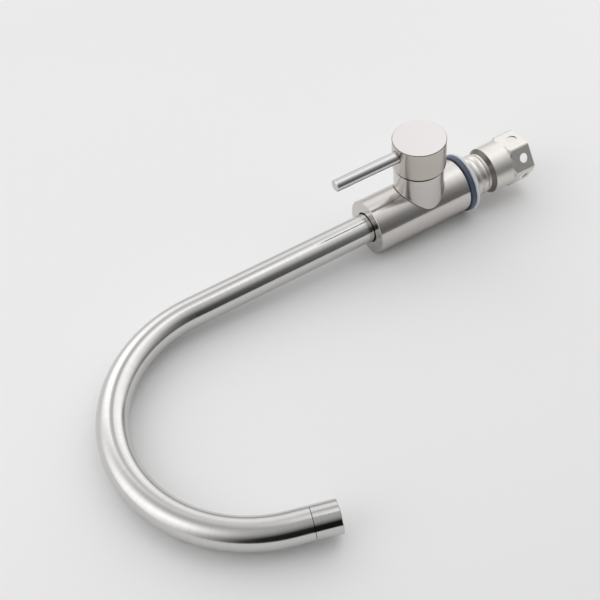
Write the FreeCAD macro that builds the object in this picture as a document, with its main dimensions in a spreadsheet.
import FreeCAD, Part
import math
import os
import Sketcher
from FreeCAD import Placement, Rotation, Vector

# Kitchen mixer tap, in millimetres. The tap stands on its deck at height 0, +Z runs up the body,
# the spout reaches forward to -Y, and the valve and its lever are on the +X side.

SIZES = {
    # body tube on the deck
    "body_radius": 25.0,
    "body_height": 96.6,
    "body_wall": 2.5,
    "body_top_plate": 3.0,
    "edge_round": 0.4,
    "foot_round": 0.8,
    "fit_gap": 0.2,
    "running_gap": 0.05,
    # side branch that holds the valve
    "branch_radius": 22.35,
    "branch_height": 41.2,
    "branch_reach": 46.1,
    "weld_round": 1.2,
    # gooseneck spout
    "spout_radius": 13.15,
    "spout_wall": 1.2,
    "spout_rise": 274.2,
    "spout_bend_radius": 113.7,
    "spout_bend_angle": 163.1,
    "spout_tip_straight": 15.2,
    "spout_hole_gap": 0.9,
    # swivel bearing of the spout, inside the body
    "swivel_height": 66.0,
    "swivel_bore_radius": 15.0,
    "glide_ring_thickness": 0.7,
    "glide_ring_width": 9.0,
    "tail_flange_thickness": 3.0,
    "tail_plug_length": 11.0,
    "tail_bore_radius": 8.5,
    "socket_radius": 11.0,
    "socket_wall": 3.5,
    "socket_depth": 14.0,
    "oring_section_radius": 0.9,
    "oring_spacing": 5.0,
    "lock_screw_radius": 2.5,
    "lock_screw_length": 9.0,
    "lock_screw_inset": 0.8,
    "lock_screw_tip_radius": 1.5,
    "lock_screw_tip_length": 1.7,
    # shank through the deck and what clamps it
    "base_seal_thickness": 2.0,
    "shank_flange_thickness": 10.0,
    "shank_radius": 16.5,
    "shank_bore_radius": 13.0,
    "shank_length": 52.0,
    "shank_chamfer": 0.8,
    "clamp_gap": 0.1,
    "washer_hole_gap": 0.5,
    "rubber_washer_radius": 27.0,
    "rubber_washer_thickness": 4.4,
    "slip_washer_radius": 28.0,
    "slip_washer_thickness": 2.9,
    "washer_edge": 0.6,
    # drawn mounting nut: beaded neck, round barrel, hexagonal end
    "neck_radius": 18.0,
    "neck_length": 20.6,
    "bead_height": 1.4,
    "bead_pitch": 6.5,
    "first_bead": 8.4,
    "groove_depth": 0.5,
    "shoulder_length": 3.4,
    "barrel_radius": 21.6,
    "barrel_length": 19.4,
    "drawn_length": 1.6,
    "hexagon_length": 20.0,
    "hexagon_flats": 42.6,
    "hexagon_round": 4.5,
    "hexagon_clock": 4.0,
    "nut_wall": 1.3,
    "bar_hole_radius": 4.5,
    "bar_hole_inset": 8.4,
    # waterway core
    "core_foot_thickness": 14.0,
    "core_head_drop": 6.0,
    "core_back": 10.0,
    "valve_barrel_radius": 20.0,
    "inlet_thread_radius": 4.46,
    "inlet_thread_length": 12.0,
    "inlet_drill_radius": 3.6,
    "inlet_spread": 7.0,
    "inlet_port_drop": 5.0,
    "inlet_port_radius": 3.0,
    "outlet_port_lift": 7.5,
    "outlet_port_radius": 4.0,
    "outlet_bore_radius": 5.5,
    "seat_reach": 17.0,
    "peg_radius": 1.5,
    "peg_length": 3.0,
    "peg_spread": 10.0,
    "peg_drop": 10.5,
    # valve cartridge, along the branch
    "cartridge_radius": 17.4,
    "cartridge_base_thickness": 4.0,
    "port_seal_width": 1.3,
    "port_seal_thickness": 1.2,
    "case_wall": 1.8,
    "fixed_disc_thickness": 4.5,
    "moving_disc_radius": 10.5,
    "moving_disc_thickness": 4.0,
    "mixing_recess_radius": 7.0,
    "mixing_recess_depth": 1.8,
    "carrier_radius": 10.8,
    "carrier_thickness": 3.8,
    "guide_flange_thickness": 2.4,
    "guide_radius": 10.9,
    "guide_slot_length": 17.0,
    "case_shoulder_thickness": 2.0,
    "collar_radius": 12.5,
    "collar_height": 7.3,
    "nut_thread_radius": 19.5,
    "nut_rim_clearance": 0.3,
    "notch_width": 4.0,
    "notch_depth": 3.0,
    "cover_radius": 20.4,
    "cover_hole_radius": 14.5,
    "cover_thickness": 0.7,
    # lever and its pivot
    "pivot_reach": 42.0,
    "pin_radius": 1.5,
    "pin_length": 21.0,
    "ball_radius": 2.2,
    "ball_drop": 10.0,
    "neck_rod_radius": 1.7,
    "pivot_boss_radius": 4.4,
    "spindle_width": 8.0,
    "spindle_top": 64.0,
    "cap_gap": 1.8,
    "cap_radius": 23.65,
    "cap_height": 28.15,
    "cap_skirt_wall": 1.1,
    "cap_round": 0.7,
    "cap_cavity_depth": 10.6,
    "hub_radius": 9.5,
    "hub_drop": 5.5,
    "lever_rise": 18.3,
    "lever_radius": 5.35,
    "lever_length": 62.3,
    "lever_chamfer": 0.6,
    "lever_seat_depth": 2.5,
    "lever_seat_gap": 0.35,
    "lever_stud_radius": 3.0,
    "lever_stud_length": 10.0,
    "grub_screw_radius": 2.5,
    "grub_screw_length": 9.0,
    "grub_screw_rise": 13.0,
    "hex_key_radius": 1.45,
    "hex_key_depth": 2.5,
    "screw_plug_length": 3.0,
    "screw_plug_radius": 3.2,
    "screw_plug_inset": 0.8,
    # outlet at the tip of the spout
    "adapter_insertion": 9.0,
    "adapter_thread_radius": 11.4,
    "adapter_thread_length": 8.0,
    "adapter_bore_radius": 9.8,
    "collar_length": 20.8,
    "collar_seam": 0.45,
    "collar_lip": 1.6,
    "collar_lip_radius": 10.6,
    "aerator_seal_thickness": 1.8,
    "aerator_seal_hole_radius": 9.4,
    "aerator_screen_thickness": 0.4,
    "aerator_flange_thickness": 1.6,
    "aerator_radius": 10.4,
    "aerator_hole_radius": 0.95,
    "aerator_ring_pitch": 3.1,
    "aerator_hole_depth": 4.0,
}


class Size:
    """A length or angle as a number and as the formula that gives it from the sheet."""

    def __init__(self, number, formula):
        self.number = number
        self.formula = formula

    def __add__(self, other):
        other = as_size(other)
        return Size(self.number + other.number, f"({self.formula} + {other.formula})")

    def __sub__(self, other):
        other = as_size(other)
        return Size(self.number - other.number, f"({self.formula} - {other.formula})")

    def __mul__(self, factor):
        factor = as_size(factor)
        return Size(self.number * factor.number, f"({self.formula} * {factor.formula})")

    def __truediv__(self, factor):
        factor = as_size(factor)
        return Size(self.number / factor.number, f"({self.formula} / {factor.formula})")

    def __neg__(self):
        return Size(-self.number, f"(0 - {self.formula})")


def as_size(value):
    return value if isinstance(value, Size) else Size(float(value), str(value))


def sine(angle):
    return Size(math.sin(math.radians(angle.number)), f"sin({angle.formula})")


def cosine(angle):
    return Size(math.cos(math.radians(angle.number)), f"cos({angle.formula})")


class Named:
    """One attribute for each size in the sheet."""


doc = FreeCAD.newDocument("MixerTap")
sheet = doc.addObject("Spreadsheet::Sheet", "Sizes")
size = Named()
for row, (alias, number) in enumerate(SIZES.items(), start=1):
    sheet.set(f"A{row}", alias)
    sheet.set(f"B{row}", str(number))
    sheet.setAlias(f"B{row}", alias)
    setattr(size, alias, Size(number, f"Sizes.{alias}"))
doc.recompute()

NOTHING = as_size(0)
nodes = {}


# Helpers that bind a feature to the sheet


def bind(thing, prop, value):
    """Sets a property from the sheet, and its number now."""
    value = as_size(value)
    thing.setExpression(prop, value.formula)


def sketch_on(body, plane, lift=NOTHING, right=NOTHING, up=NOTHING):
    """A sketch on one of the body's own origin planes, lifted along its normal."""
    sketch = body.newObject("Sketcher::SketchObject", "Sketch")
    origin_plane = next(f for f in body.Origin.OriginFeatures if f.Role == plane)
    sketch.AttachmentSupport = [(origin_plane, "")]
    sketch.MapMode = "FlatFace"
    for prop, value in (("x", right), ("y", up), ("z", lift)):
        bind(sketch, f"AttachmentOffset.Base.{prop}", value)
    return sketch


def fix_point(sketch, edge, end, u, v):
    """Places one end of an edge from the sketch's origin, by two sizes."""
    for kind, value in (("DistanceX", as_size(u)), ("DistanceY", as_size(v))):
        number = sketch.addConstraint(Sketcher.Constraint(kind, -1, 1, edge, end, value.number))
        sketch.setExpression(f"Constraints[{number}]", value.formula)


def outline(sketch, points):
    """A closed outline of straight edges, every corner placed by sizes."""
    corners = [Vector(as_size(u).number, as_size(v).number, 0) for u, v in points]
    for k, corner in enumerate(corners):
        sketch.addGeometry(Part.LineSegment(corner, corners[(k + 1) % len(corners)]), False)
    for k, (u, v) in enumerate(points):
        sketch.addConstraint(Sketcher.Constraint("Coincident", k, 2, (k + 1) % len(points), 1))
        fix_point(sketch, k, 1, u, v)


def circle(sketch, u, v, radius):
    """A circle whose centre and radius are sizes."""
    u, v, radius = as_size(u), as_size(v), as_size(radius)
    centre = Vector(u.number, v.number, 0)
    edge = sketch.addGeometry(Part.Circle(centre, Vector(0, 0, 1), radius.number), False)
    fix_point(sketch, edge, 3, u, v)
    number = sketch.addConstraint(Sketcher.Constraint("Radius", edge, radius.number))
    sketch.setExpression(f"Constraints[{number}]", radius.formula)


def feature(body, kind, sketch, **properties):
    """Adds a feature made from a sketch and checks that it changed the solid."""
    before = body.Shape.Volume if body.Tip else 0.0
    made = body.newObject(f"PartDesign::{kind}", kind)
    made.Profile = sketch
    for prop, value in properties.items():
        if isinstance(value, Size):
            bind(made, prop, value)
        else:
            setattr(made, prop, value)
    doc.recompute()
    assert abs(made.Shape.Volume - before) > 1e-6, f"{body.Label}: {kind} changes nothing"
    return made


def pad(body, sketch, length, down=False):
    return feature(body, "Pad", sketch, Length=length, Reversed=down)


def pocket(body, sketch, depth, along=False):
    """Cuts against the sketch's normal, or along it."""
    return feature(body, "Pocket", sketch, Length=depth, Reversed=along)


def round_edges(body, base, radius, pick):
    """Rounds the edges of the last feature that pick chooses."""
    names = [f"Edge{n}" for n, edge in enumerate(base.Shape.Edges, start=1) if pick(edge)]
    assert names, f"{body.Label}: no edge to round"
    made = body.newObject("PartDesign::Fillet", "Fillet")
    made.Base = (base, names)
    bind(made, "Radius", radius)
    doc.recompute()
    return made


def ring_edge(edge, radius, axis, place):
    """Whether an edge is a full circle of this radius about an axis, at this place along it."""
    curve = edge.Curve
    if not isinstance(curve, Part.Circle) or len(edge.Vertexes) > 1:
        return False
    along = curve.Center.dot(axis)
    same_axis = abs(abs(curve.Axis.dot(axis)) - 1.0) < 1e-6
    return same_axis and abs(curve.Radius - radius.number) < 1e-4 and abs(along - place.number) < 1e-4


def new_body(label):
    body = doc.addObject("PartDesign::Body", label)
    body.Label = label
    nodes[label] = body
    return body


def turned(label, points, axis="Z", centre=NOTHING):
    """A turned piece: its outline as (radius, place along the axis) about Z, X or a line along Z."""
    body = new_body(label)
    if axis == "X":
        sketch = sketch_on(body, "XZ_Plane", up=size.branch_height)
        outline(sketch, [(along, radius) for radius, along in points])
        reference = "H_Axis"
    else:
        sketch = sketch_on(body, "XZ_Plane", right=centre)
        outline(sketch, points)
        reference = "V_Axis"
    feature(body, "Revolution", sketch, ReferenceAxis=(sketch, [reference]), Angle=360.0)
    return body


def part(kind, label, **properties):
    """A primitive or boolean whose sizes come from the sheet."""
    made = doc.addObject(f"Part::{kind}", label)
    made.Label = label
    for prop, value in properties.items():
        if isinstance(value, Size):
            bind(made, prop, value)
        else:
            setattr(made, prop, value)
    return made


def place(made, x=NOTHING, y=NOTHING, z=NOTHING, turn=None):
    """Puts a primitive at a place given by sizes."""
    if turn:
        made.Placement = Placement(Vector(), Rotation(*turn))
    for prop, value in (("x", x), ("y", y), ("z", z)):
        bind(made, f"Placement.Base.{prop}", value)
    return made


TO_X = (Vector(0, 1, 0), 90)
TO_Y = (Vector(1, 0, 0), -90)


def rod(label, radius, length, x=NOTHING, y=NOTHING, z=NOTHING, turn=None):
    """A cylinder that starts at a place and runs along Z, X or Y."""
    return place(part("Cylinder", label, Radius=radius, Height=length), x, y, z, turn)


def cut(label, base, tools):
    """The base less every tool, as one node."""
    tool = tools[0]
    if len(tools) > 1:
        tool = part("MultiFuse", f"{label}_cutters", Shapes=tools)
    made = part("Cut", label, Base=base, Tool=tool)
    nodes.pop(base.Label, None)
    if base.Label == label:
        base.Label = f"{label}_blank"
    made.Label = label
    nodes[label] = made
    return made


# Places that several pieces share

core_bottom = size.base_seal_thickness + size.shank_flange_thickness
core_top = size.body_height - size.body_top_plate - size.running_gap
core_radius = size.body_radius - size.body_wall - size.fit_gap
tube_bore = size.spout_radius - size.spout_wall
tail_flange_bottom = size.swivel_height + size.glide_ring_thickness + size.running_gap
tail_flange_top = tail_flange_bottom + size.tail_flange_thickness
tube_foot = tail_flange_top
tail_radius = size.socket_radius - size.running_gap
lock_screw_height = tail_flange_top + size.lock_screw_radius + size.fit_gap
inlet_port_height = size.branch_height - size.inlet_port_drop
outlet_port_height = size.branch_height + size.outlet_port_lift
peg_height = size.branch_height - size.peg_drop

case_foot = size.seat_reach + size.cartridge_base_thickness
case_bore = size.cartridge_radius - size.case_wall
moving_disc_foot = case_foot + size.fixed_disc_thickness + size.running_gap
carrier_foot = moving_disc_foot + size.moving_disc_thickness
guide_foot = carrier_foot + size.carrier_thickness + size.fit_gap
guide_shoulder = guide_foot + size.guide_flange_thickness
case_shoulder = guide_shoulder + size.fit_gap
nut_foot = case_shoulder + size.case_shoulder_thickness
collar_top = nut_foot + size.collar_height

cap_foot = size.branch_reach + size.cap_gap
cap_top = cap_foot + size.cap_height
cavity_floor = cap_foot + size.cap_cavity_depth
hub_foot = cavity_floor - size.hub_drop
plug_outer = size.cap_radius - size.screw_plug_inset
plug_inner = plug_outer - size.screw_plug_length
lever_reach = cap_foot + size.lever_rise
lever_seat = size.branch_height + size.cap_radius - size.lever_seat_depth
lever_tip = size.branch_height + size.cap_radius + size.lever_length

X_AXIS = Vector(1, 0, 0)
Y_AXIS = Vector(0, 1, 0)
Z_AXIS = Vector(0, 0, 1)


# Body: a tube with a closed top, and a thick branch bored for the cartridge and its nut


def make_body():
    body = new_body("faucet_body")
    foot = sketch_on(body, "XY_Plane")
    circle(foot, 0, 0, size.body_radius)
    pad(body, foot, size.body_height)
    side = sketch_on(body, "YZ_Plane", up=size.branch_height)
    circle(side, 0, 0, size.branch_radius)
    branch = pad(body, side, size.branch_reach)
    welded = round_edges(body, branch, size.weld_round, is_weld)
    foot_rim = (size.body_radius, Z_AXIS, NOTHING)
    seated = round_edges(body, welded, size.foot_round, lambda edge: ring_edge(edge, *foot_rim))
    rims = [(size.body_radius, Z_AXIS, size.body_height), (size.branch_radius, X_AXIS, size.branch_reach)]
    round_edges(body, seated, size.edge_round, lambda edge: any(ring_edge(edge, *rim) for rim in rims))
    hollow = sketch_on(body, "XY_Plane")
    circle(hollow, 0, 0, size.body_radius - size.body_wall)
    pocket(body, hollow, size.body_height - size.body_top_plate, along=True)
    mouth = sketch_on(body, "XY_Plane", lift=size.body_height)
    circle(mouth, 0, 0, size.spout_radius + size.spout_hole_gap)
    pocket(body, mouth, size.body_top_plate)
    bore = sketch_on(body, "YZ_Plane", up=size.branch_height)
    circle(bore, 0, 0, size.cartridge_radius + size.fit_gap)
    pocket(body, bore, size.branch_reach, along=True)
    thread = sketch_on(body, "YZ_Plane", lift=size.branch_reach, up=size.branch_height)
    circle(thread, 0, 0, size.nut_thread_radius)
    pocket(body, thread, size.branch_reach - nut_foot + size.fit_gap)
    screw_hole = sketch_on(body, "XZ_Plane")
    circle(screw_hole, 0, lock_screw_height, size.lock_screw_radius + size.running_gap)
    pocket(body, screw_hole, size.body_radius)


def is_weld(edge):
    """Whether an edge is where the branch meets the tube."""
    return not isinstance(edge.Curve, (Part.Circle, Part.Line))


# Shank, seal and washers below the deck


def make_shank():
    turned("threaded_shank", [
        (size.shank_bore_radius, core_bottom),
        (size.body_radius - size.body_wall - size.running_gap, core_bottom),
        (size.body_radius - size.body_wall - size.running_gap, size.base_seal_thickness),
        (size.shank_radius, size.base_seal_thickness),
        (size.shank_radius, size.shank_chamfer - size.shank_length),
        (size.shank_radius - size.shank_chamfer, -size.shank_length),
        (size.shank_bore_radius, -size.shank_length),
    ])
    turned("base_seal", [
        (size.shank_radius + size.running_gap, NOTHING),
        (core_radius, NOTHING),
        (core_radius, size.base_seal_thickness),
        (size.shank_radius + size.running_gap, size.base_seal_thickness),
    ])


def make_washer(label, top, thickness, radius):
    hole = size.shank_radius + size.washer_hole_gap
    turned(label, [
        (hole, top),
        (radius - size.washer_edge, top),
        (radius, top - size.washer_edge),
        (radius, top - thickness + size.edge_round),
        (radius - size.edge_round, top - thickness),
        (hole, top - thickness),
    ])
    return top - thickness


# Mounting nut: one drawn tube, beaded at the neck and pressed to a hexagon at its end


def hexagon_wire(flats, corner_round, turn, height):
    """A hexagon with round corners as six flats and six corner arcs."""
    apothem = flats / 2
    corner_centre = (apothem - corner_round) / math.cos(math.radians(30))
    edges = []
    for k in range(6):
        flat = math.radians(turn + 60 * k)
        corner = math.radians(turn + 60 * k + 30)
        half = (apothem - corner_round) * math.tan(math.radians(30))
        ends = [
            Vector(apothem * math.cos(flat) - s * half * math.sin(flat),
                   apothem * math.sin(flat) + s * half * math.cos(flat), height)
            for s in (-1, 1)
        ]
        edges.append(Part.LineSegment(*ends).toShape())
        tip = corner_centre + corner_round
        middle = Vector(tip * math.cos(corner), tip * math.sin(corner), height)
        following = flat + math.radians(60)
        after = Vector(apothem * math.cos(following) + half * math.sin(following),
                       apothem * math.sin(following) - half * math.cos(following), height)
        edges.append(Part.Arc(ends[1], middle, after).toShape())
    return Part.Wire(edges)


def matching_circle(radius, flats, corner_round, turn, height):
    """A circle cut into twelve arcs that face the hexagon's flats and corners."""
    half = math.degrees(math.atan((flats / 2 - corner_round) * math.tan(math.radians(30)) / (flats / 2)))
    marks = []
    for k in range(6):
        marks += [turn + 60 * k - half, turn + 60 * k + half]
    marks.append(marks[0] + 360)
    at = lambda a: Vector(radius * math.cos(math.radians(a)), radius * math.sin(math.radians(a)), height)
    edges = [Part.Arc(at(a), at((a + b) / 2), at(b)).toShape() for a, b in zip(marks, marks[1:])]
    return Part.Wire(edges)


def drawn_tube(top, inset, beads):
    """The nut's outer form, or with an inset its hollow, as one solid."""
    neck = sheet.neck_radius - inset
    barrel = sheet.barrel_radius - inset
    shoulder_top = top - sheet.neck_length
    shoulder_foot = shoulder_top - sheet.shoulder_length
    barrel_foot = shoulder_foot - sheet.barrel_length
    hexagon_top = barrel_foot - sheet.drawn_length
    hexagon_foot = hexagon_top - sheet.hexagon_length
    rim = Vector(neck, 0, top)
    corner = Vector(neck, 0, shoulder_top)
    if beads:
        start = Vector(neck, 0, top - sheet.first_bead + sheet.bead_pitch / 2)
        edges = [Part.LineSegment(rim, start).toShape()]
        for k in range(2):
            crest = start + Vector(sheet.bead_height, 0, -sheet.bead_pitch / 2)
            end = start - Vector(0, 0, sheet.bead_pitch)
            edges.append(Part.Arc(start, crest, end).toShape())
            start = end
        groove = (start + corner) / 2 - Vector(sheet.groove_depth, 0, 0)
        edges.append(Part.Arc(start, groove, corner).toShape())
    else:
        edges = [Part.LineSegment(rim, corner).toShape()]
    side = [corner, Vector(barrel, 0, shoulder_foot), Vector(barrel, 0, barrel_foot),
            Vector(0, 0, barrel_foot), Vector(0, 0, top), rim]
    edges += [Part.LineSegment(a, b).toShape() for a, b in zip(side, side[1:])]
    round_part = Part.Face(Part.Wire(edges)).revolve(Vector(), Z_AXIS, 360)
    flats = sheet.hexagon_flats - 2 * inset
    corner_round = sheet.hexagon_round - inset
    circle_end = matching_circle(barrel, flats, corner_round, sheet.hexagon_clock, barrel_foot)
    hexagon_end = hexagon_wire(flats, corner_round, sheet.hexagon_clock, hexagon_top)
    drawn = Part.makeLoft([circle_end, hexagon_end], True, True)
    prism = Part.Face(hexagon_end).extrude(Vector(0, 0, hexagon_foot - hexagon_top))
    return round_part.fuse([drawn, prism]), hexagon_foot


def make_mounting_nut(top):
    outside, foot = drawn_tube(top, 0, True)
    hollow, foot = drawn_tube(top, sheet.nut_wall, False)
    thread = Part.makeCylinder(sheet.shank_radius + sheet.running_gap, -foot, Vector(0, 0, foot))
    neck_core = Part.makeCylinder(sheet.neck_radius, sheet.neck_length, Vector(0, 0, top - sheet.neck_length))
    inside = hollow.cut(neck_core).fuse(thread)
    shape = outside.cut(inside)
    height = foot + sheet.bar_hole_inset
    for k in range(3):
        turn = math.radians(sheet.hexagon_clock + 60 * k)
        across = Vector(math.cos(turn), math.sin(turn), 0)
        start = Vector(0, 0, height) - across * sheet.hexagon_flats
        shape = shape.cut(Part.makeCylinder(sheet.bar_hole_radius, 2 * sheet.hexagon_flats, start, across))
    nut = doc.addObject("Part::Feature", "mounting_nut")
    nut.Label = "mounting_nut"
    nut.Shape = shape.removeSplitter()
    nodes["mounting_nut"] = nut


# Waterway core: a brass block in the body with the valve seat, the ports and the swivel socket


def make_core():
    body = new_body("waterway_core")
    barrel = sketch_on(body, "YZ_Plane", lift=-size.core_back)
    circle(barrel, 0, size.branch_height, size.valve_barrel_radius)
    pad(body, barrel, size.core_back + core_radius)
    trim = sketch_on(body, "XY_Plane")
    circle(trim, 0, 0, core_radius - size.fit_gap)
    circle(trim, 0, 0, size.branch_reach)
    pocket(body, trim, size.body_height, along=True)
    foot = sketch_on(body, "XY_Plane", lift=core_bottom)
    circle(foot, 0, 0, core_radius)
    pad(body, foot, size.core_foot_thickness)
    column = sketch_on(body, "XY_Plane", lift=size.branch_height)
    circle(column, 0, 0, size.socket_radius + size.socket_wall)
    pad(body, column, size.swivel_height - size.branch_height)
    head = sketch_on(body, "XY_Plane", lift=core_top)
    circle(head, 0, 0, core_radius)
    pad(body, head, core_top - size.swivel_height + size.core_head_drop, down=True)
    bearing = sketch_on(body, "XY_Plane", lift=core_top)
    circle(bearing, 0, 0, size.swivel_bore_radius)
    pocket(body, bearing, core_top - size.swivel_height)
    socket = sketch_on(body, "XY_Plane", lift=size.swivel_height)
    circle(socket, 0, 0, size.socket_radius)
    pocket(body, socket, size.socket_depth)
    socket_foot = size.swivel_height - size.socket_depth
    riser = sketch_on(body, "XY_Plane", lift=socket_foot)
    circle(riser, 0, 0, size.outlet_bore_radius)
    pocket(body, riser, socket_foot - outlet_port_height + size.outlet_bore_radius)
    seat = sketch_on(body, "YZ_Plane", lift=size.seat_reach)
    circle(seat, 0, size.branch_height, size.cartridge_radius + size.fit_gap)
    pocket(body, seat, size.body_radius, along=True)
    for side in (-1, 1):
        thread = sketch_on(body, "XY_Plane", lift=core_bottom)
        circle(thread, 0, size.inlet_spread * side, size.inlet_thread_radius)
        pocket(body, thread, size.inlet_thread_length, along=True)
        drill = sketch_on(body, "XY_Plane", lift=core_bottom)
        circle(drill, 0, size.inlet_spread * side, size.inlet_drill_radius)
        pocket(body, drill, inlet_port_height + size.inlet_drill_radius - core_bottom, along=True)
    ports = sketch_on(body, "YZ_Plane", lift=size.seat_reach)
    port_circles(ports)
    pocket(body, ports, size.seat_reach)
    pegs = sketch_on(body, "YZ_Plane", lift=size.seat_reach)
    for side in (-1, 1):
        circle(pegs, size.peg_spread * side, peg_height, size.peg_radius + size.running_gap)
    pocket(body, pegs, size.peg_length + size.fit_gap)
    screw_hole = sketch_on(body, "XZ_Plane")
    circle(screw_hole, 0, lock_screw_height, size.lock_screw_radius + size.running_gap)
    pocket(body, screw_hole, size.body_radius)


def port_circles(sketch, grow=NOTHING):
    """The hot, cold and mixed water ports, as they lie on the valve seat."""
    for side in (-1, 1):
        circle(sketch, size.inlet_spread * side, inlet_port_height, size.inlet_port_radius + grow)
    circle(sketch, 0, outlet_port_height, size.outlet_port_radius + grow)


# Cartridge: base with seals, two ceramic discs, carrier, guide and case, held by a ring nut


def make_cartridge_base():
    body = new_body("cartridge_base")
    foot = sketch_on(body, "YZ_Plane", lift=size.seat_reach)
    circle(foot, 0, size.branch_height, size.cartridge_radius)
    pad(body, foot, size.cartridge_base_thickness)
    pegs = sketch_on(body, "YZ_Plane", lift=size.seat_reach)
    for side in (-1, 1):
        circle(pegs, size.peg_spread * side, peg_height, size.peg_radius)
    pad(body, pegs, size.peg_length, down=True)
    ports = sketch_on(body, "YZ_Plane", lift=size.seat_reach)
    port_circles(ports)
    pocket(body, ports, size.cartridge_base_thickness, along=True)
    recesses = sketch_on(body, "YZ_Plane", lift=size.seat_reach)
    port_circles(recesses, size.port_seal_width)
    pocket(body, recesses, size.port_seal_thickness, along=True)


def make_port_seals():
    rings = []
    for name, y, z, radius in (
        ("cold", -size.inlet_spread, inlet_port_height, size.inlet_port_radius),
        ("hot", size.inlet_spread, inlet_port_height, size.inlet_port_radius),
        ("mixed", NOTHING, outlet_port_height, size.outlet_port_radius),
    ):
        outer = rod(f"{name}_seal_outside", radius + size.port_seal_width - size.running_gap,
                    size.port_seal_thickness, size.seat_reach, y, z, TO_X)
        inner = rod(f"{name}_seal_hole", radius, size.port_seal_thickness, size.seat_reach, y, z, TO_X)
        ring = part("Cut", f"{name}_seal", Base=outer, Tool=inner)
        rings.append(ring)
    seals = part("Compound", "port_seals", Links=rings)
    nodes["port_seals"] = seals


def make_discs():
    fixed = new_body("fixed_disc")
    face = sketch_on(fixed, "YZ_Plane", lift=case_foot)
    circle(face, 0, size.branch_height, case_bore - size.fit_gap)
    pad(fixed, face, size.fixed_disc_thickness)
    ports = sketch_on(fixed, "YZ_Plane", lift=case_foot)
    port_circles(ports)
    pocket(fixed, ports, size.fixed_disc_thickness, along=True)
    turned("moving_disc", [
        (NOTHING, moving_disc_foot + size.mixing_recess_depth),
        (size.mixing_recess_radius, moving_disc_foot + size.mixing_recess_depth),
        (size.mixing_recess_radius, moving_disc_foot),
        (size.moving_disc_radius, moving_disc_foot),
        (size.moving_disc_radius, carrier_foot),
        (NOTHING, carrier_foot),
    ], axis="X")
    socket = size.ball_radius + size.fit_gap
    carrier_top = carrier_foot + size.carrier_thickness
    turned("disc_carrier", [
        (socket, carrier_foot),
        (size.carrier_radius, carrier_foot),
        (size.carrier_radius, carrier_top),
        (socket, carrier_top),
    ], axis="X")


def make_case():
    turned("cartridge_case", [
        (case_bore, case_foot),
        (size.cartridge_radius, case_foot),
        (size.cartridge_radius, nut_foot),
        (size.collar_radius, nut_foot),
        (size.collar_radius, collar_top),
        (size.guide_radius + size.running_gap * 2, collar_top),
        (size.guide_radius + size.running_gap * 2, case_shoulder),
        (case_bore, case_shoulder),
    ], axis="X")


def make_guide():
    blank = turned("lever_guide", [
        (NOTHING, guide_foot),
        (case_bore - size.fit_gap, guide_foot),
        (case_bore - size.fit_gap, guide_shoulder),
        (size.guide_radius, guide_shoulder),
        (size.guide_radius, collar_top),
        (NOTHING, collar_top),
    ], axis="X")
    slot_width = size.spindle_width + size.fit_gap * 2
    slot = part("Box", "guide_slot", Length=collar_top - guide_foot, Width=slot_width,
                Height=size.guide_slot_length)
    place(slot, guide_foot, -slot_width / 2, size.branch_height - size.guide_slot_length / 2)
    hole = rod("guide_pin_hole", size.pin_radius + size.running_gap / 2, size.guide_radius * 2,
               size.pivot_reach, -size.guide_radius, size.branch_height, TO_Y)
    cut("lever_guide", blank, [slot, hole])
    pin = rod("pivot_pin", size.pin_radius, size.pin_length, size.pivot_reach, -size.pin_length / 2,
              size.branch_height, TO_Y)
    nodes["pivot_pin"] = pin


def make_spindle():
    ball = part("Sphere", "spindle_ball", Radius=size.ball_radius)
    place(ball, size.pivot_reach - size.ball_drop, NOTHING, size.branch_height)
    neck = rod("spindle_neck", size.neck_rod_radius, size.ball_drop, size.pivot_reach - size.ball_drop,
               NOTHING, size.branch_height, TO_X)
    boss = rod("spindle_boss", size.pivot_boss_radius, size.spindle_width, size.pivot_reach,
               -size.spindle_width / 2, size.branch_height, TO_Y)
    shaft = part("Box", "spindle_shaft", Length=size.spindle_top - size.pivot_reach,
                 Width=size.spindle_width, Height=size.spindle_width)
    place(shaft, size.pivot_reach, -size.spindle_width / 2, size.branch_height - size.spindle_width / 2)
    solid = part("MultiFuse", "spindle_solid", Shapes=[ball, neck, boss, shaft])
    hole = rod("spindle_pin_hole", size.pin_radius + size.running_gap, size.spindle_width * 2,
               size.pivot_reach, -size.spindle_width, size.branch_height, TO_Y)
    cut("lever_spindle", solid, [hole])


def make_ring_nut():
    top = size.branch_reach - size.nut_rim_clearance
    hole = size.collar_radius + size.fit_gap
    body = turned("cartridge_nut", [
        (hole, nut_foot),
        (size.nut_thread_radius - size.running_gap, nut_foot),
        (size.nut_thread_radius - size.running_gap, top),
        (hole, top),
    ], axis="X")
    face = sketch_on(body, "YZ_Plane", lift=top, up=size.branch_height)
    half = size.notch_width / 2
    outline(face, [
        (-half, hole - size.notch_depth),
        (half, hole - size.notch_depth),
        (half, hole + size.notch_depth),
        (-half, hole + size.notch_depth),
    ])
    notch = pocket(body, face, size.notch_depth)
    pattern = body.newObject("PartDesign::PolarPattern", "Notches")
    pattern.Originals = [notch]
    pattern.Axis = (face, ["N_Axis"])
    pattern.Angle = 360
    pattern.Occurrences = 4
    body.Tip = pattern
    cover_top = size.branch_reach + size.cover_thickness
    turned("cover_ring", [
        (size.cover_hole_radius, size.branch_reach),
        (size.cover_radius, size.branch_reach),
        (size.cover_radius, cover_top - size.edge_round),
        (size.cover_radius - size.edge_round, cover_top),
        (size.cover_hole_radius, cover_top),
    ], axis="X")


# Handle: a hollow cap on the spindle, with a pin lever screwed into its side


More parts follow.
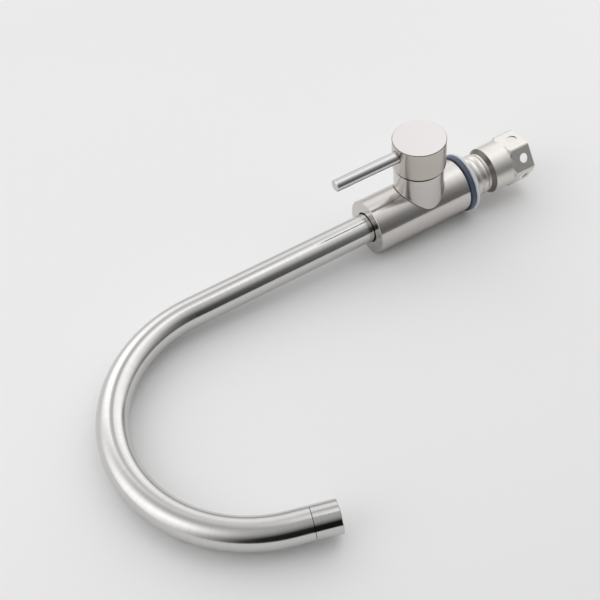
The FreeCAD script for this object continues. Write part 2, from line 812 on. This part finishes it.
def make_cap():
    blank = turned("handle_cap", [
        (NOTHING, cap_top),
        (size.cap_radius, cap_top),
        (size.cap_radius, cap_foot),
        (size.cap_radius - size.cap_skirt_wall, cap_foot),
        (size.cap_radius - size.cap_skirt_wall, cavity_floor),
        (size.hub_radius, cavity_floor),
        (size.hub_radius, hub_foot),
        (NOTHING, hub_foot),
    ], axis="X")
    top_rim = (size.cap_radius, X_AXIS, cap_top)
    crowned = round_edges(blank, blank.Tip, size.cap_round, lambda edge: ring_edge(edge, *top_rim))
    foot_rim = (size.cap_radius, X_AXIS, cap_foot)
    round_edges(blank, crowned, size.edge_round, lambda edge: ring_edge(edge, *foot_rim))
    square = size.spindle_width + size.running_gap * 2
    socket = part("Box", "spindle_socket", Length=size.spindle_top - hub_foot + size.fit_gap,
                  Width=square, Height=square)
    place(socket, hub_foot, -square / 2, size.branch_height - square / 2)
    seat = rod("lever_seat", size.lever_radius + size.lever_seat_gap, size.cap_radius, lever_reach,
               NOTHING, lever_seat)
    stud = rod("lever_stud_hole", size.lever_stud_radius + size.running_gap, size.cap_radius,
               lever_reach, NOTHING, lever_seat - size.lever_stud_length - size.fit_gap)
    screw_reach = cap_foot + size.grub_screw_rise
    screw = rod("grub_screw_hole", size.grub_screw_radius + size.running_gap, size.cap_radius,
                screw_reach, NOTHING, size.branch_height - size.cap_radius)
    plug = rod("screw_plug_hole", size.screw_plug_radius + size.running_gap,
               size.cap_radius - plug_inner, screw_reach, NOTHING, size.branch_height - size.cap_radius)
    cut("handle_cap", blank, [socket, seat, stud, screw, plug])


def make_lever_rod():
    turned("lever_rod", [
        (NOTHING, lever_tip),
        (size.lever_radius - size.lever_chamfer, lever_tip),
        (size.lever_radius, lever_tip - size.lever_chamfer),
        (size.lever_radius, lever_seat + size.running_gap),
        (size.lever_stud_radius, lever_seat + size.running_gap),
        (size.lever_stud_radius, lever_seat - size.lever_stud_length),
        (NOTHING, lever_seat - size.lever_stud_length),
    ], centre=lever_reach)


def make_grub_screw():
    screw_reach = cap_foot + size.grub_screw_rise
    tip = size.branch_height - size.spindle_width / 2 - size.running_gap
    foot = tip - size.grub_screw_length
    blank = rod("grub_screw_blank", size.grub_screw_radius, size.grub_screw_length, screw_reach, NOTHING, foot)
    key = part("Prism", "grub_screw_key", Polygon=6, Circumradius=size.hex_key_radius,
               Height=size.hex_key_depth)
    place(key, screw_reach, NOTHING, foot)
    cut("grub_screw", blank, [key])
    plug = rod("screw_plug", size.screw_plug_radius, size.screw_plug_length, screw_reach, NOTHING,
               size.branch_height - plug_outer)
    nodes["screw_plug"] = plug


# Spout: a bent tube on a swivelling tailpiece with two O-rings


def make_spout_tube():
    body = new_body("spout_tube")
    path = sketch_on(body, "YZ_Plane")
    rise = size.spout_rise.number
    radius = size.spout_bend_radius.number
    turn = math.radians(size.spout_bend_angle.number)
    foot = Vector(0, tube_foot.number, 0)
    shoulder = Vector(0, rise, 0)
    centre = Vector(-radius, rise, 0)
    crown = centre + Vector(radius * math.cos(turn / 2), radius * math.sin(turn / 2), 0)
    bend_end = centre + Vector(radius * math.cos(turn), radius * math.sin(turn), 0)
    length = size.spout_tip_straight.number
    tip = bend_end + Vector(-math.sin(turn), math.cos(turn), 0) * length
    riser = path.addGeometry(Part.LineSegment(foot, shoulder), False)
    bend = path.addGeometry(Part.Arc(shoulder, crown, bend_end), False)
    straight = path.addGeometry(Part.LineSegment(bend_end, tip), False)
    path.addConstraint(Sketcher.Constraint("Coincident", riser, 2, bend, 1))
    path.addConstraint(Sketcher.Constraint("Coincident", bend, 2, straight, 1))
    fix_point(path, riser, 1, NOTHING, tube_foot)
    fix_point(path, riser, 2, NOTHING, size.spout_rise)
    fix_point(path, bend, 3, -size.spout_bend_radius, size.spout_rise)
    end_out = size.spout_bend_radius * (cosine(size.spout_bend_angle) - as_size(1))
    end_up = size.spout_rise + size.spout_bend_radius * sine(size.spout_bend_angle)
    number = path.addConstraint(Sketcher.Constraint("DistanceX", -1, 1, bend, 2, end_out.number))
    path.setExpression(f"Constraints[{number}]", end_out.formula)
    fix_point(path, straight, 2, end_out - size.spout_tip_straight * sine(size.spout_bend_angle),
              end_up + size.spout_tip_straight * cosine(size.spout_bend_angle))
    section = sketch_on(body, "XY_Plane", lift=tube_foot)
    circle(section, 0, 0, size.spout_radius)
    circle(section, 0, 0, tube_bore)
    feature(body, "AdditivePipe", section, Spine=path)


def make_tailpiece():
    section = size.oring_section_radius
    groove_floor = tail_radius - section * 2
    tail_foot = size.swivel_height - size.socket_depth + size.fit_gap
    lower = tail_foot + size.oring_spacing
    upper = lower + size.oring_spacing
    half = section + size.running_gap
    top = tail_flange_top + size.tail_plug_length
    turned("spout_tailpiece", [
        (size.tail_bore_radius, tail_foot),
        (tail_radius, tail_foot),
        (tail_radius, lower - half),
        (groove_floor, lower - half),
        (groove_floor, lower + half),
        (tail_radius, lower + half),
        (tail_radius, upper - half),
        (groove_floor, upper - half),
        (groove_floor, upper + half),
        (tail_radius, upper + half),
        (tail_radius, tail_flange_bottom),
        (size.swivel_bore_radius - size.fit_gap, tail_flange_bottom),
        (size.swivel_bore_radius - size.fit_gap, tail_flange_top),
        (tube_bore - size.running_gap, tail_flange_top),
        (tube_bore - size.running_gap, top),
        (size.tail_bore_radius, top),
    ])
    for label, height in (("lower_oring", lower), ("upper_oring", upper)):
        ring = part("Torus", label, Radius1=groove_floor + section + size.running_gap / 2, Radius2=section)
        place(ring, z=height)
        nodes[label] = ring


def make_glide_rings():
    hole = tail_radius + size.fit_gap
    washer = [(hole, size.swivel_height), (size.swivel_bore_radius - size.running_gap, size.swivel_height)]
    top = size.swivel_height + size.glide_ring_thickness
    washer += [(size.swivel_bore_radius - size.running_gap, top), (hole, top)]
    turned("lower_glide_ring", washer)
    inner = size.spout_radius + size.running_gap
    outer = size.swivel_bore_radius - size.running_gap
    foot = core_top - size.glide_ring_width
    turned("upper_glide_ring", [(inner, foot), (outer, foot), (outer, core_top), (inner, core_top)])


def make_lock_screw():
    head = size.body_radius - size.lock_screw_inset
    shoulder = head - size.lock_screw_length
    shaft = rod("lock_screw_shaft", size.lock_screw_radius, size.lock_screw_length, NOTHING, shoulder,
                lock_screw_height, TO_Y)
    tip = rod("lock_screw_tip", size.lock_screw_tip_radius, size.lock_screw_tip_length, NOTHING,
              shoulder - size.lock_screw_tip_length, lock_screw_height, TO_Y)
    blank = part("MultiFuse", "lock_screw_blank", Shapes=[shaft, tip])
    key = part("Prism", "lock_screw_key", Polygon=6, Circumradius=size.hex_key_radius,
               Height=size.hex_key_depth)
    place(key, NOTHING, head - size.hex_key_depth, lock_screw_height, TO_Y)
    cut("spout_lock_screw", blank, [key])


# Outlet: made along its own axis from the end of the tube, then set at the spout's tip


def at_the_tip(body):
    """Puts a piece made along +Z at the end of the spout, along the flow."""
    angle = size.spout_bend_angle
    reach = size.spout_bend_radius * (cosine(angle) - as_size(1)) - size.spout_tip_straight * sine(angle)
    height = size.spout_rise + size.spout_bend_radius * sine(angle) + size.spout_tip_straight * cosine(angle)
    body.Placement = Placement(Vector(), Rotation(X_AXIS, angle.number))
    bind(body, "Placement.Rotation.Angle", angle)
    bind(body, "Placement.Base.y", reach)
    bind(body, "Placement.Base.z", height)


def make_outlet():
    seal_foot = size.adapter_thread_length
    seal_end = seal_foot + size.aerator_seal_thickness
    lip = size.collar_length - size.collar_lip
    at_the_tip(turned("outlet_adapter", [
        (size.adapter_bore_radius, -size.adapter_insertion),
        (tube_bore - size.running_gap, -size.adapter_insertion),
        (tube_bore - size.running_gap, NOTHING),
        (size.adapter_thread_radius, NOTHING),
        (size.adapter_thread_radius, size.adapter_thread_length),
        (size.adapter_bore_radius, size.adapter_thread_length),
    ]))
    collar = size.adapter_thread_radius + size.running_gap
    at_the_tip(turned("aerator_collar", [
        (collar, size.collar_seam),
        (size.spout_radius, size.collar_seam),
        (size.spout_radius, size.collar_length - size.edge_round),
        (size.spout_radius - size.edge_round, size.collar_length),
        (size.collar_lip_radius, size.collar_length),
        (size.collar_lip_radius, lip),
        (collar, lip),
    ]))
    rim = size.adapter_thread_radius - size.running_gap
    at_the_tip(turned("aerator_seal", [
        (size.aerator_seal_hole_radius, seal_foot),
        (rim, seal_foot),
        (rim, seal_end),
        (size.aerator_seal_hole_radius, seal_end),
    ]))
    at_the_tip(turned("aerator_screen", [
        (NOTHING, seal_end - size.aerator_screen_thickness),
        (size.aerator_seal_hole_radius - size.running_gap, seal_end - size.aerator_screen_thickness),
        (size.aerator_seal_hole_radius - size.running_gap, seal_end),
        (NOTHING, seal_end),
    ]))
    flange_end = seal_end + size.aerator_flange_thickness
    face = lip + size.collar_lip / 2
    shoulder = lip - size.running_gap
    insert = turned("aerator_insert", [
        (NOTHING, seal_end),
        (rim, seal_end),
        (rim, shoulder),
        (size.aerator_radius, shoulder),
        (size.aerator_radius, face),
        (NOTHING, face),
    ])
    jets = sketch_on(insert, "XY_Plane", lift=face)
    circle(jets, 0, 0, size.aerator_hole_radius)
    pocket(insert, jets, size.aerator_hole_depth)
    for ring in (1, 2, 3):
        row = sketch_on(insert, "XY_Plane", lift=face)
        circle(row, size.aerator_ring_pitch * ring, 0, size.aerator_hole_radius)
        hole = pocket(insert, row, size.aerator_hole_depth)
        pattern = insert.newObject("PartDesign::PolarPattern", "Jets")
        pattern.Originals = [hole]
        pattern.Axis = (row, ["N_Axis"])
        pattern.Angle = 360
        pattern.Occurrences = 6 * ring
        insert.Tip = pattern
        doc.recompute()
    at_the_tip(insert)


def check_and_export():
    """Stops if any feature failed, then writes each piece's solids to a STEP file of its own."""
    doc.recompute()
    failed = [o.Label for o in doc.Objects if "Invalid" in o.State or "Error" in o.State]
    assert not failed, f"failed objects: {failed}"
    os.makedirs("parts", exist_ok=True)
    for label, piece in nodes.items():
        shape = piece.Shape
        assert not shape.isNull() and shape.isValid() and shape.Solids, f"bad shape: {label}"
        solids = shape.Solids[0] if len(shape.Solids) == 1 else Part.makeCompound(shape.Solids)
        solids.exportStep(os.path.join("parts", f"{label}.step"))
        print(f"{label:20s} {len(shape.Solids)} solid(s) {shape.Volume / 1000:8.2f} cm3")
    print(len(nodes), "pieces")


make_body()
make_shank()
rubber_foot = make_washer("rubber_washer", -size.clamp_gap, size.rubber_washer_thickness,
                          size.rubber_washer_radius)
slip_foot = make_washer("slip_washer", rubber_foot, size.slip_washer_thickness, size.slip_washer_radius)
make_mounting_nut(slip_foot.number)
make_core()
make_cartridge_base()
make_port_seals()
make_discs()
make_case()
make_guide()
make_spindle()
make_ring_nut()
make_cap()
make_lever_rod()
make_grub_screw()
make_spout_tube()
make_tailpiece()
make_glide_rings()
make_lock_screw()
make_outlet()
check_and_export()
